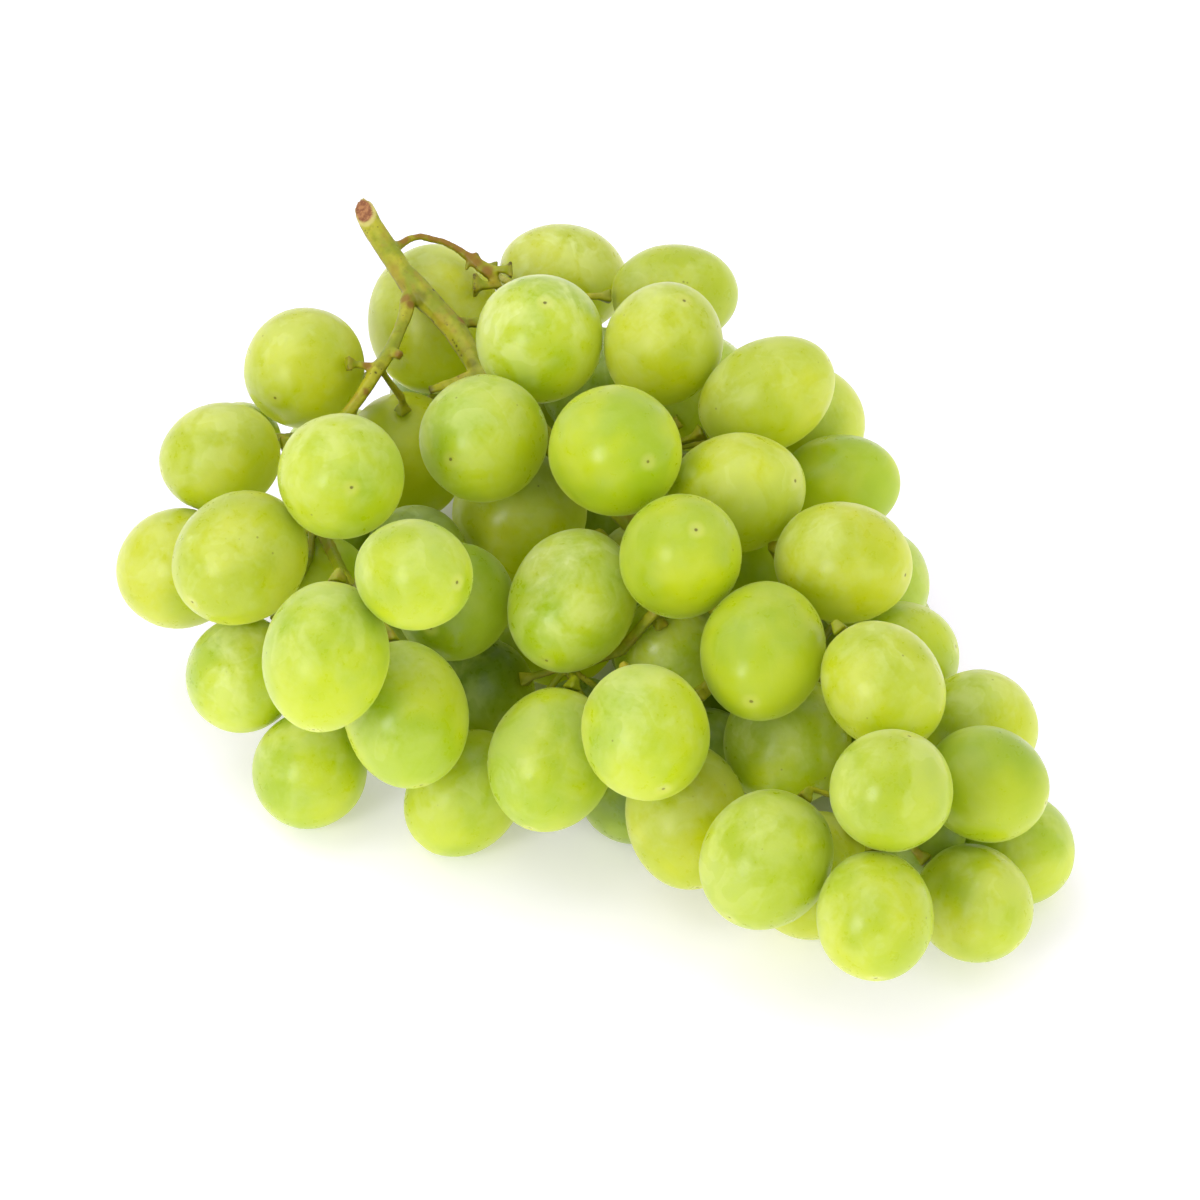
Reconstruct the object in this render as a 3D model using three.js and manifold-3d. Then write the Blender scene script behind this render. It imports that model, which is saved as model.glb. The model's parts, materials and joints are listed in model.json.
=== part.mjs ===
// A bunch of green table grapes lying on its side: one branched stem and seventy-seven berries.
//
// Millimetres, +Z up. The bunch lies along X with its cut stem end towards -X and its tail towards +X.
// Its near side is -Y. The table is the plane z = 0, and the lowest berries rest on small flats there.
// The stem is one grown body. A berry is a body of its own, 0.3 mm clear of the stem that carries it,
// except in the middle and underneath, where berries that are pressed together are joined.
import * as THREE from "three";
import { mergeVertices } from "three/addons/utils/BufferGeometryUtils.js";
import Module from "manifold-3d";

const wasm = await Module();
wasm.setup();

// ---- Driving dimensions ----

const GAP = 0.3; // air between two pieces that touch on the real bunch
const PRESS = 1.2; // how far berries that are joined in one body sink into each other
const SAG = 0.35; // how far a resting berry is flattened by the table
const REACH_OF_TABLE = 0.7; // a berry this close to the table rests on it
const SLIVER = 0.01; // edges finer than this are cleared off the stem's surface
const ROUNDING = 1.01; // facets cut inside the true ellipsoid by about a hundredth
const HIDDEN_BERRY = 21.6; // width and length of a berry that is out of sight

const STEM = {
  axisSides: 8,
  lateralSides: 5,
  sprayBranchSides: 4,
  pedicelSides: 4,
  hiddenPedicelSides: 3,
  branchRadius: 1.25,
  pedicelRadius: 0.8,
  receptacleRadius: 1.9, // the swollen disc that the berry sits on
  receptacleDepth: 2.2,
  straightLead: 2.4, // a pedicel meets its berry square on over this length
  ringSpacing: 16, // the longest stretch of a stem between two rings
  clearance: 0.9, // from a stem's surface to the berries that it passes
};

const GREEN_SKIN = { color: 0xb4cd3c, roughness: 0.38, metalness: 0 };
const SHADED_SKIN = { color: 0x93b04a, roughness: 0.42, metalness: 0 };
const STEM_BARK = { color: 0x9c9a3e, roughness: 0.62, metalness: 0 };

// ---- The stem's own route ----

// The main axis from the cut end to the tail, as points and the radius at each.
const MAIN_AXIS = [
  [-32, 6.1, 65.7, 2.0],
  [-28.2, 5.5, 63.6, 2.1],
  [-25.5, 5, 61.9, 2.1],
  [-20.1, 4.4, 59.7, 2.15],
  [-15.2, 4, 57.4, 2.15],
  [-11.1, 4.1, 55.6, 2.7],
  [-5.4, 4.7, 53.6, 2.2],
  [-0.3, 5, 51.6, 2.35],
  [4, 4.3, 49.8, 2.1],
  [9, 3.6, 47.8, 2.1],
  [22, 3, 46, 2.1],
  [37.5, 2, 43.4, 2.1],
  [53, 2, 41, 2.0],
  [66, 1.5, 38.5, 1.8],
  [80.4, 2.5, 34.9, 1.7],
  [94, 8, 29.5, 1.6],
  [104, 11.5, 25.3, 1.5],
  [113, 9.5, 22.5, 1.4],
  [123, 2.5, 23, 1.4],
  [132, -5, 27, 1.7],
];

// The cut end is sliced off at a long slant, through this point and square to this direction.
const SLANT_CUT = { through: [-28, 5.4, 63.4], compass: -124, rise: 62 };

// The near lateral leaves the swollen node of the main axis and bears the near shoulder.
const NEAR_LATERAL = [
  [-10.6, 2.2, 55.4, 1.7],
  [-7.6, -1.2, 54.2, 1.45],
  [-5.2, -4.5, 53.5, 1.2],
  [-2.7, -8.4, 52.6, 1.4],
  [-1.2, -11.4, 52.1, 1.35],
  [-0.4, -13.7, 51.8, 1.6],
  [1.2, -16.9, 51, 1.35],
  [2.3, -20, 49.8, 1.25],
  [2.9, -23, 48.4, 1.15],
  [1, -27, 44, 1.6],
];

// The far lateral is thin and bare where it arches over the far shoulder.
const FAR_LATERAL = [
  [-19.8, 5, 59.6, 1.3],
  [-19.7, 7.6, 59.8, 0.85],
  [-19.8, 9.6, 60, 0.7],
  [-19.3, 11.8, 59.8, 0.68],
  [-16.2, 15.1, 58.6, 0.68],
  [-14.1, 16.5, 57.6, 0.7],
  [-11.6, 17.9, 56, 0.95],
  [-9.7, 18, 55, 0.75],
  [-7.6, 18.9, 54, 0.75],
  [-6.7, 19.8, 52.2, 0.8],
  [-5.9, 20.6, 50.4, 0.85],
  [-5, 24, 48.6, 1.4],
];

// Short twigs that have lost their berry, as points and the radius at each: they swell to a bare disc or knob.
const BARE_TWIGS = {
  near_knob: [
    [-2.6, -8.9, 52.6, 1.2],
    [-1.2, -8.9, 52.9, 0.9],
    [0.1, -9.1, 53.1, 1.15],
    [0.8, -9.3, 53.2, 0.8],
  ],
  near_disc: [
    [-0.9, -14.2, 51.9, 1.1],
    [-1.9, -15.8, 52.6, 0.8],
    [-2.6, -17.2, 53.2, 0.8],
    [-3.1, -18.2, 53.5, 1.7],
    [-3.4, -18.7, 53.6, 1.75],
  ],
  far_knob: [
    [-11.6, 17.9, 56, 0.9],
    [-11.3, 18.8, 56.4, 0.75],
    [-11.1, 19.4, 56.7, 0.85],
  ],
  far_remnant: [
    [-11.8, 17.7, 56, 0.7],
    [-11.3, 16.8, 55.2, 0.45],
    [-10.9, 16.2, 54.4, 0.4],
  ],
  far_disc: [
    [-6.2, 20.4, 51.8, 0.9],
    [-6, 17.4, 53, 0.8],
    [-6.6, 16.3, 53.3, 1.2],
    [-7.2, 15.5, 53.4, 2.6],
    [-7.5, 15.1, 53.4, 2.7],
  ],
  far_small_disc: [
    [-10.6, 18.8, 56, 0.5],
    [-8.6, 19.9, 55, 0.55],
    [-7.4, 20.6, 54.6, 0.7],
    [-5.8, 21.9, 54.8, 1.0],
    [-5.4, 22.3, 54.8, 1.9],
    [-5.1, 22.7, 54.8, 1.95],
  ],
  outer_twig: [
    [-8.6, 19.9, 55, 0.5],
    [-7.2, 20.2, 54.2, 0.5],
    [-6.4, 20.2, 52.4, 0.6],
  ],
  crown_spur: [
    [-0.9, 5.2, 51.6, 2.0],
    [-1.5, 7.3, 51.5, 1.5],
    [-0.6, 9, 51.4, 1.15],
    [0.5, 10.8, 51.2, 1.15],
    [1.6, 12.4, 51, 1.4],
  ],
  shoulder_stub: [
    [9, 2.4, 48, 1.5],
    [7.2, -0.6, 46.8, 1.2],
    [5, -2.4, 45.2, 1.1],
    [3.6, -3.5, 44.3, 1.0],
    [3, -4, 43.9, 1.25],
  ],
};

// ---- The sprays ----

// A spray is a hub that its pedicels spring from, the point that its own branch starts at, and its berries,
// with a radius where its branch is thinner than the rest.
// "from" is a point on a stem, or the name of the spray whose hub the branch leaves.
// A berry is [centre x, y, z, width, length], and then, where its blossom end doesn't point straight away from
// the hub, the compass direction of that end (0 towards the tail, 90 towards the far side) and its rise.
// A hidden berry is its centre alone.
const SPRAYS = [
  {
    name: "stem_end",
    hub: [-13, -8, 38],
    from: [-0.8, -12.5, 51.8],
    berries: {
      stem_end_berry_1: [-14.5, -20.4, 47, 22, 23.5, -65, 5],
      stem_end_berry_3: [-24, -6, 11, 22, 22.5],
    },
  },
  {
    name: "under_fork",
    hub: [-0.8, -7.9, 41.6],
    from: [-0.6, -13.2, 51.6],
    radius: 0.65,
    berries: {
      stem_end_berry_2: [-3.5, -5.5, 23.8, 23.2, 26.5],
    },
  },
  {
    name: "near_shoulder",
    hub: [1, -27, 44],
    from: null,
    berries: {
      near_shoulder_berry_1: [-7, -46, 43, 20, 22.5],
      near_shoulder_berry_2: [-20, -32, 32, 14.5, 15.5],
      near_shoulder_berry_3: [8, -29, 28, 19.5, 20.5],
      near_shoulder_inner_1: [27, -27, 30, 18.5, 18.5],
    },
  },
  {
    name: "near_edge",
    hub: [15, -41, 40],
    from: "near_shoulder",
    berries: {
      near_edge_berry_1: [27, -44, 58, 22.5, 22.5, -20, 35],
      near_edge_berry_2: [-1, -61, 28, 22, 23],
      near_edge_berry_3: [20, -60, 43, 23, 26, -80, -10],
      near_edge_berry_4: [22, -45, 28, 20, 20.5],
      near_edge_berry_5: [25, -66, 22, 20.5, 21.5, -85, -40],
    },
  },
  {
    name: "near_wing",
    hub: [41, -52, 43],
    from: "near_edge",
    berries: {
      near_wing_berry_1: [65, -57, 66, 19, 21.5, 10, 20],
      near_wing_berry_2: [62, -57, 32, 22, 26.5, -25, -35],
      near_wing_berry_3: [58, -71, 51, 22, 26.5, -50, -35],
    },
  },
  {
    name: "near_foot",
    hub: [40, -51, 30],
    from: "near_wing",
    berries: {
      near_foot_berry_1: [43, -65, 11, 20.5, 21.5],
      near_foot_inner_1: [30, -40, 11],
    },
  },
  {
    name: "near_middle",
    hub: [66, -23, 27],
    from: "near_crown",
    berries: {
      near_middle_berry_1: [49, -35, 38, 20.5, 24.5, -60, 15],
      near_middle_berry_2: [52, -31, 16, 20.5, 21],
      near_middle_berry_3: [66, -47, 11, 20, 24.5],
      near_middle_berry_4: [82, -40, 25, 22, 26, -60, -35],
      near_middle_berry_5: [84, -23, 10, 19, 20],
      near_middle_inner_1: [65, -19, 10, 19.5, 19.5],
      near_middle_inner_2: [85, -5, 9, 17.5, 17.5],
      near_middle_berry_6: [50, -11, 17, 22.5, 23.5],
    },
  },
  {
    name: "near_crown",
    hub: [77, -11, 41],
    from: [72, 1, 37],
    berries: {
      near_crown_berry_1: [66, -21, 42, 22.5, 27.5, -60, -15],
      near_crown_berry_2: [81, -9, 54, 21.5, 25, -15, 60],
      near_crown_berry_3: [73, -4, 24, 20, 25],
    },
  },
  {
    name: "near_flank",
    hub: [91, -13, 31],
    from: [87.5, 5.4, 32.1],
    berries: {
      near_flank_berry_1: [102, -7, 46, 22, 27.5, -50, 0],
      near_flank_berry_2: [103, -26, 18, 21.5, 26.5, -30, -35],
      near_flank_berry_3: [101, -34, 41, 22, 24.5, -25, -15],
    },
  },
  {
    name: "top",
    hub: [18, 9, 44],
    from: [16, 3.2, 47],
    berries: {
      top_berry_1: [29, -12, 52, 23, 24, -70, 15],
      top_berry_2: [27, -2, 28, 25, 26.5],
      top_berry_3: [20, 9, 59, 23.5, 24, -25, 70],
    },
  },
  {
    name: "crest",
    hub: [37, -1, 44],
    from: [34, 2, 44],
    berries: {
      crest_berry_1: [56, -3, 61, 23.5, 25.5, -10, 25],
    },
  },
  {
    name: "far_shoulder",
    hub: [-6, 24, 49.6],
    from: null,
    berries: {
      far_shoulder_berry_1: [-16.2, 12.2, 41.5, 25.2, 28.5, 140, 45],
      far_shoulder_berry_2: [-11, 40, 41, 21, 25, 50, -10],
      middle_inner_1: [-9, 25.5, 22],
      middle_inner_3: [-28.5, 23, 10.9, 22.5, 22.5],
    },
  },
  {
    name: "far_edge",
    hub: [3, 33, 48],
    from: "far_shoulder",
    berries: {
      far_edge_berry_1: [12, 49, 46, 19, 24.5],
      middle_inner_2: [10, 34, 30],
    },
  },
  {
    name: "far_crest",
    hub: [41, 20, 40],
    from: [38, 2, 43.4],
    berries: {
      far_crest_berry_1: [37, 25, 60, 21.5, 24.5, 25, 70],
      far_crest_berry_2: [30, 39, 38, 22, 23],
      far_crest_berry_3: [57, 32, 57, 20, 26.5, 60, 30],
      far_crest_berry_4: [51, 48, 38, 21.5, 22],
      far_inner_1: [44, 37, 21],
    },
  },
  {
    name: "far_middle",
    hub: [56, 16, 38],
    from: [54, 2, 40.8],
    berries: {
      far_middle_berry_1: [70, 14, 51, 21.5, 26.5, 25, 30],
      far_middle_berry_2: [70, 39, 39, 18.5, 22.5],
      far_middle_berry_3: [69, 24, 26, 20.5, 21],
      far_inner_2: [63, 44, 20],
    },
  },
  {
    name: "far_flank",
    hub: [95.5, 12, 32.5],
    from: [94, 8, 29.5],
    berries: {
      far_flank_berry_1: [95, 18, 48, 21.5, 25.5, 20, 10],
      far_flank_berry_2: [88, 32, 30, 21, 21.5],
      far_flank_berry_3: [106, 23, 29, 20.5, 21, 45, 20],
      far_flank_berry_4: [103.6, -2.5, 22.8, 22.6, 24],
      keel_inner_1: [78, 13, 11],
      keel_inner_2: [97, 21, 11],
      keel_inner_3: [116, 13, 11],
    },
  },
  {
    name: "tail_top",
    hub: [112, 6, 33],
    from: [112.5, 9.7, 22.7],
    berries: {
      tail_top_berry_1: [122, 2, 46, 20.5, 24, 0, -25],
      tail_top_berry_2: [126, 22, 28, 20.5, 21],
      tail_berry_3: [140, 18, 10, 20, 21],
    },
  },
  {
    name: "tail",
    hub: [132, -5, 27],
    from: null,
    berries: {
      tail_berry_1: [141, -12, 42, 21, 21, -20, 70],
      tail_berry_2: [142, 10, 32, 20, 22, 30, -5],
      tail_berry_4: [149, 1, 14, 20, 21.5, 10, -20],
      tail_berry_5: [149, -23, 25, 20, 22.5, -40, -30],
      tail_berry_6: [129, -29, 27, 22.5, 25, -75, -25],
      tail_berry_7: [125, -13, 11, 22, 24],
      tail_inner_1: [131.5, 5, 15.2, 17, 17],
    },
  },
  {
    name: "under_shoulder",
    hub: [19, 12, 19],
    from: [13, 3.4, 47.4],
    berries: {
      near_foot_inner_2: [9, -19, 11],
      near_foot_inner_3: [30, -18, 11],
      keel_inner_4: [7, 13, 11],
      keel_inner_5: [22, 25, 11],
    },
  },
  {
    name: "far_foot",
    hub: [28, 36, 23],
    from: "far_crest",
    berries: {
      far_foot_inner_1: [6, 42, 11],
      far_foot_inner_2: [26, 47, 12],
      far_foot_inner_3: [44, 57, 11, 21.6, 21.6, 60, -50],
    },
  },
  {
    name: "under_middle",
    hub: [57, 26, 22],
    from: "far_middle",
    berries: {
      keel_inner_6: [41, 18, 11],
      keel_inner_7: [59, 6, 11],
      far_inner_3: [82, 40, 11],
    },
  },
];

// Berries that are pressed together, each list in the order in which they touch.
const JOINED = {
  berries_near_shoulder: ["near_shoulder_berry_3", "near_shoulder_inner_1"],
  berries_near_middle: ["near_middle_inner_1", "near_middle_berry_5", "near_middle_inner_2"],
  berries_near_foot: ["near_foot_inner_2", "near_foot_inner_3", "near_foot_inner_1"],
  berries_middle: ["middle_inner_3", "middle_inner_1", "middle_inner_2"],
  berries_far_side: ["far_inner_1", "far_inner_2", "far_inner_3"],
  berries_far_foot: ["far_foot_inner_1", "far_foot_inner_2", "far_foot_inner_3"],
  berries_keel: [
    "keel_inner_4",
    "keel_inner_5",
    "keel_inner_6",
    "keel_inner_7",
    "keel_inner_1",
    "keel_inner_2",
    "keel_inner_3",
    "tail_inner_1",
  ],
};

// ---- Meshes and solids ----

// Merge a closed geometry's shared corners, drop the faces that collapse, and make a solid of it.
function solidFrom(geometry) {
  const bare = geometry.clone();
  bare.deleteAttribute("normal");
  bare.deleteAttribute("uv");
  const merged = mergeVertices(bare, 1e-4);
  const corners = merged.index.array;
  const kept = [];
  for (let i = 0; i < corners.length; i += 3) {
    const [a, b, c] = [corners[i], corners[i + 1], corners[i + 2]];
    if (a !== b && b !== c && a !== c) kept.push(a, b, c);
  }
  return new wasm.Manifold(
    new wasm.Mesh({
      numProp: 3,
      vertProperties: merged.attributes.position.array,
      triVerts: new Uint32Array(kept),
    }),
  );
}

function geometryFrom(solid) {
  const mesh = solid.getMesh();
  const geometry = new THREE.BufferGeometry();
  geometry.setAttribute("position", new THREE.BufferAttribute(new Float32Array(mesh.vertProperties), 3));
  geometry.setIndex(new THREE.BufferAttribute(new Uint32Array(mesh.triVerts), 1));
  geometry.computeVertexNormals();
  return geometry;
}

function direction(compass, rise) {
  const yaw = THREE.MathUtils.degToRad(compass);
  const pitch = THREE.MathUtils.degToRad(rise);
  return new THREE.Vector3(
    Math.cos(pitch) * Math.cos(yaw),
    Math.cos(pitch) * Math.sin(yaw),
    Math.sin(pitch),
  );
}

// ---- Berries ----

const hubs = new Map(SPRAYS.map((spray) => [spray.name, new THREE.Vector3(...spray.hub)]));
const groupOf = new Map(
  Object.entries(JOINED).flatMap(([group, names]) => names.map((name) => [name, group])),
);

function readBerry(name, row, hub) {
  const [x, y, z, width = HIDDEN_BERRY, length = HIDDEN_BERRY, compass, rise] = row;
  const home = new THREE.Vector3(x, y, z);
  const blossom = compass === undefined ? home.clone().sub(hub).normalize() : direction(compass, rise);
  return { name, home, centre: home.clone(), half: width / 2, halfLong: length / 2, blossom, hub };
}

const berries = SPRAYS.flatMap((spray) =>
  Object.entries(spray.berries).map(([name, row]) => readBerry(name, row, hubs.get(spray.name))),
);
const berryNamed = new Map(berries.map((berry) => [berry.name, berry]));

// How far a berry reaches from its centre along a unit direction.
function reach(berry, way) {
  const along = berry.blossom.dot(way);
  return Math.sqrt(berry.half ** 2 * (1 - along ** 2) + berry.halfLong ** 2 * along ** 2);
}

const isLink = (a, b) => {
  const group = groupOf.get(a.name);
  if (!group || group !== groupOf.get(b.name)) return false;
  return Math.abs(JOINED[group].indexOf(a.name) - JOINED[group].indexOf(b.name)) === 1;
};

// Two berries are moved apart along the line of their centres, or drawn together where they are joined.
function settlePair(a, b) {
  const line = b.centre.clone().sub(a.centre);
  const distance = line.length();
  if (distance > a.halfLong + b.halfLong + 2) return;
  line.divideScalar(distance);
  const link = isLink(a, b);
  const wanted = reach(a, line) + reach(b, line) + (link ? -PRESS : GAP + 0.15);
  if (!link && distance >= wanted) return;
  const share = (wanted - distance) / 2;
  a.centre.addScaledVector(line, -share);
  b.centre.addScaledVector(line, share);
}

// A berry is moved off a stem that keeps its own route.
function settleOnStem(berry, point, radius) {
  const line = berry.centre.clone().sub(point);
  const distance = line.length();
  if (distance > berry.halfLong + radius + 2) return;
  line.divideScalar(distance);
  const wanted = reach(berry, line) + radius + GAP;
  if (distance < wanted) berry.centre.addScaledVector(line, wanted - distance);
}

function settleOnTable(berry) {
  const up = new THREE.Vector3(0, 0, 1);
  const bottom = berry.centre.z - reach(berry, up);
  if (bottom < REACH_OF_TABLE) berry.centre.z -= bottom + SAG;
}

function curveThrough(rows) {
  return new THREE.CatmullRomCurve3(rows.map(([x, y, z]) => new THREE.Vector3(x, y, z)), false, "centripetal");
}

// Points along the stems that keep their own route, each with the stem's radius there.
const fixedStems = [MAIN_AXIS, NEAR_LATERAL, FAR_LATERAL].flatMap((rows) => {
  const curve = curveThrough(rows);
  const steps = (rows.length - 1) * 4;
  return Array.from({ length: steps + 1 }, (_, i) => {
    const before = rows[Math.floor(i / 4)];
    const after = rows[Math.min(rows.length - 1, Math.floor(i / 4) + 1)];
    return { point: curve.getPoint(i / steps), radius: THREE.MathUtils.lerp(before[3], after[3], (i % 4) / 4) };
  });
});

const ROUNDS = 300;
for (let round = 0; round < ROUNDS; round += 1) {
  // Each berry is drawn home a little at first, and only pushed clear at the end.
  const pull = round < ROUNDS / 2 ? 0.08 : 0;
  berries.forEach((berry) => berry.centre.lerp(berry.home, pull));
  fixedStems.forEach(({ point, radius }) => berries.forEach((berry) => settleOnStem(berry, point, radius)));
  berries.forEach((a, i) => berries.slice(i + 1).forEach((b) => settlePair(a, b)));
  berries.forEach(settleOnTable);
}

function berryGeometry(berry, detail, swell) {
  const geometry = new THREE.IcosahedronGeometry(1, detail);
  const turn = new THREE.Quaternion().setFromUnitVectors(new THREE.Vector3(0, 0, 1), berry.blossom);
  const size = new THREE.Vector3(berry.half + swell, berry.half + swell, berry.halfLong + swell);
  size.multiplyScalar(ROUNDING);
  geometry.applyMatrix4(new THREE.Matrix4().compose(berry.centre, turn, size));
  return geometry;
}

const tableBlock = solidFrom(new THREE.BoxGeometry(600, 600, 20).translate(60, 0, -10));

function berrySolid(berry) {
  const solid = solidFrom(berryGeometry(berry, groupOf.has(berry.name) ? 1 : 2, 0));
  return berry.centre.z < berry.halfLong * ROUNDING + 0.1 ? solid.subtract(tableBlock) : solid;
}

// ---- Stems ----

// A route from one point to another that bends clear of every berry, like a taut band pushed off them.
function route(start, end, radius) {
  const steps = Math.max(3, Math.round(start.distanceTo(end) / 3));
  const points = Array.from({ length: steps + 1 }, (_, i) => start.clone().lerp(end, i / steps));
  const keepOff = radius + STEM.clearance;
  for (let pass = 0; pass < 80; pass += 1) {
    for (let i = 1; i < steps; i += 1) {
      const middle = points[i - 1].clone().add(points[i + 1]).multiplyScalar(0.5);
      points[i].lerp(middle, 0.5);
      berries.forEach((berry) => {
        const line = points[i].clone().sub(berry.centre);
        const distance = line.length();
        if (distance > berry.halfLong + keepOff) return;
        line.divideScalar(distance);
        const wanted = reach(berry, line) + keepOff;
        if (distance < wanted) points[i].addScaledVector(line, wanted - distance);
      });
      points[i].z = Math.max(points[i].z, keepOff);
    }
  }
  return points;
}

// A stem: a lathe-turned profile bent along a curve. A ring is [place along the curve, radius].
function limb(curve, rings, sides) {
  const profile = rings.map(([, radius], i) => new THREE.Vector2(radius, i));
  const geometry = new THREE.LatheGeometry(profile, sides);
  const frames = [];
  let across = null;
  rings.forEach(([place]) => {
    const centre = curve.getPointAt(place);
    const along = curve.getTangentAt(place);
    if (!across) across = new THREE.Vector3(0, 0, 1).cross(along);
    if (across.lengthSq() < 1e-6) across.set(1, 0, 0);
    across.addScaledVector(along, -across.dot(along)).normalize();
    frames.push({ centre, across: across.clone(), over: along.clone().cross(across) });
  });
  const position = geometry.attributes.position;
  for (let i = 0; i < position.count; i += 1) {
    const frame = frames[Math.round(position.getY(i))];
    const point = frame.centre.clone();
    point.addScaledVector(frame.across, position.getX(i));
    point.addScaledVector(frame.over, position.getZ(i));
    position.setXYZ(i, point.x, point.y, point.z);
  }
  const solid = solidFrom(geometry);
  if (solid.volume() > 0) return solid;
  geometry.index.array.reverse();
  return solidFrom(geometry);
}

// A limb through rows of [x, y, z, radius], with a ring at each row and more between rows that are far apart.
function limbThrough(rows, sides) {
  const curve = curveThrough(rows);
  const lengths = rows.map((_, i) => (i === 0 ? 0 : curveThrough(rows.slice(0, i + 1)).getLength()));
  const total = lengths[lengths.length - 1];
  const rings = [[0, 0]];
  rows.forEach((row, i) => {
    rings.push([Math.min(1, lengths[i] / total), row[3]]);
    if (i === rows.length - 1) return;
    const extra = Math.floor((lengths[i + 1] - lengths[i]) / STEM.ringSpacing);
    for (let k = 1; k <= extra; k += 1) {
      const share = k / (extra + 1);
      const place = THREE.MathUtils.lerp(lengths[i], lengths[i + 1], share) / total;
      rings.push([place, THREE.MathUtils.lerp(row[3], rows[i + 1][3], share)]);
    }
  });
  rings.push([1, 0]);
  return limb(curve, rings, sides);
}

function branch(start, end, radius) {
  const points = route(start, end, radius);
  const curve = new THREE.CatmullRomCurve3(points, false, "centripetal");
  const count = Math.max(2, Math.round(curve.getLength() / (STEM.ringSpacing * 0.7)));
  const rings = [[0, 0]];
  for (let i = 0; i <= count; i += 1) {
    const swell = i === count ? 1.35 : 1;
    rings.push([i / count, radius * swell]);
  }
  rings.push([1, 0]);
  return limb(curve, rings, STEM.sprayBranchSides);
}

// The pedicel springs from the hub, meets its berry square on and ends in the swollen receptacle.
function pedicel(berry) {
  const stemEnd = berry.centre.clone().addScaledVector(berry.blossom, -(berry.halfLong * ROUNDING + GAP));
  const lead = stemEnd.clone().addScaledVector(berry.blossom, -STEM.straightLead);
  const points = [...route(berry.hub, lead, STEM.pedicelRadius), stemEnd];
  const curve = new THREE.CatmullRomCurve3(points, false, "centripetal");
  const total = curve.getLength();
  const neck = 1 - Math.min(0.5, STEM.receptacleDepth / total);
  const count = Math.max(1, Math.round((total * neck) / STEM.ringSpacing));
  const rings = [[0, 0]];
  for (let i = 0; i <= count; i += 1) rings.push([(neck * i) / count, STEM.pedicelRadius]);
  rings.push([1, STEM.receptacleRadius], [1, 0]);
  return limb(curve, rings, groupOf.has(berry.name) ? STEM.hiddenPedicelSides : STEM.pedicelSides);
}

function buildStem() {
  const cut = new THREE.BoxGeometry(30, 30, 30).translate(0, 0, 15);
  const facing = direction(SLANT_CUT.compass, SLANT_CUT.rise);
  cut.applyQuaternion(new THREE.Quaternion().setFromUnitVectors(new THREE.Vector3(0, 0, 1), facing));
  cut.translate(...SLANT_CUT.through);
  let stem = limbThrough(MAIN_AXIS, STEM.axisSides).subtract(solidFrom(cut));
  stem = stem.add(limbThrough(NEAR_LATERAL, STEM.lateralSides));
  stem = stem.add(limbThrough(FAR_LATERAL, STEM.lateralSides));
  Object.values(BARE_TWIGS).forEach((rows) => {
    stem = stem.add(limbThrough(rows, STEM.pedicelSides));
  });
  SPRAYS.filter((spray) => spray.from).forEach((spray) => {
    const start = typeof spray.from === "string" ? hubs.get(spray.from) : new THREE.Vector3(...spray.from);
    stem = stem.add(branch(start, hubs.get(spray.name), spray.radius ?? STEM.branchRadius));
  });
  berries.forEach((berry) => {
    stem = stem.add(pedicel(berry));
  });
  // What still comes too close to a berry is cut back to the gap.
  berries.forEach((berry) => {
    const swollen = solidFrom(berryGeometry(berry, 2, GAP - 0.05));
    if (stem.intersect(swollen).volume() > 0) stem = stem.subtract(swollen);
  });
  const bodies = stem.decompose().sort((a, b) => b.volume() - a.volume());
  return bodies[0].simplify(SLIVER);
}

// ---- Assembly ----

function meshOf(name, solid, finish) {
  const mesh = new THREE.Mesh(geometryFrom(solid), new THREE.MeshStandardMaterial(finish));
  mesh.name = name;
  return mesh;
}

const bunch = new THREE.Group();
bunch.add(meshOf("rachis", buildStem(), STEM_BARK));
berries
  .filter((berry) => !groupOf.has(berry.name))
  .forEach((berry) => bunch.add(meshOf(berry.name, berrySolid(berry), GREEN_SKIN)));
Object.entries(JOINED).forEach(([group, names]) => {
  const solid = names.map((name) => berrySolid(berryNamed.get(name))).reduce((whole, one) => whole.add(one));
  bunch.add(meshOf(group, solid, SHADED_SKIN));
});

// The origin is under the middle of the bunch, on the table.
const box = new THREE.Box3().setFromObject(bunch, true);
const middle = box.getCenter(new THREE.Vector3());
bunch.position.set(-middle.x, -middle.y, -box.min.z);

export default bunch;
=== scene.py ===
# A bunch of green table grapes on a pale table: translucent bloomed berries on one knotty stem.
import json
import math

import bmesh
import bpy
import numpy as np
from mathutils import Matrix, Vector, noise


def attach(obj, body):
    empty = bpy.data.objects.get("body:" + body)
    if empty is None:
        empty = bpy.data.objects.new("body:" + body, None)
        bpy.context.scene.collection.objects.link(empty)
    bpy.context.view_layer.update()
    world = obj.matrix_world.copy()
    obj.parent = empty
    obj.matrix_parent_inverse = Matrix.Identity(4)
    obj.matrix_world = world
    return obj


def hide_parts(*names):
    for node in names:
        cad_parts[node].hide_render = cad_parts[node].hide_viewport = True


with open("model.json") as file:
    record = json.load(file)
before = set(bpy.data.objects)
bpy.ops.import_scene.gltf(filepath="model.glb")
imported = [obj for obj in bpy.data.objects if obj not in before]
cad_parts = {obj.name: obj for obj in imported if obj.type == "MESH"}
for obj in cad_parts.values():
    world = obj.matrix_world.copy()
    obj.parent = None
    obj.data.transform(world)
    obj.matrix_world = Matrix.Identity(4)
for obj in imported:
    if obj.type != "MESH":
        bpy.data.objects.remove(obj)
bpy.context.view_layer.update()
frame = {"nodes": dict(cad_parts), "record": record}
nodes = frame["nodes"]
slotOfNode = {part["node"]: part["material_slot"] for part in frame["record"]["subparts"]}
mm = 0.001  # plain sizes of berries and stem are in mm; those times mm, and the stage's, are in metres
black = (0.0, 0.0, 0.0, 1.0)
print("frame loaded:", len(nodes), "nodes")


# Each berry is read back from its faceted solid: its middle, its half sizes and the way that it points.

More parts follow.
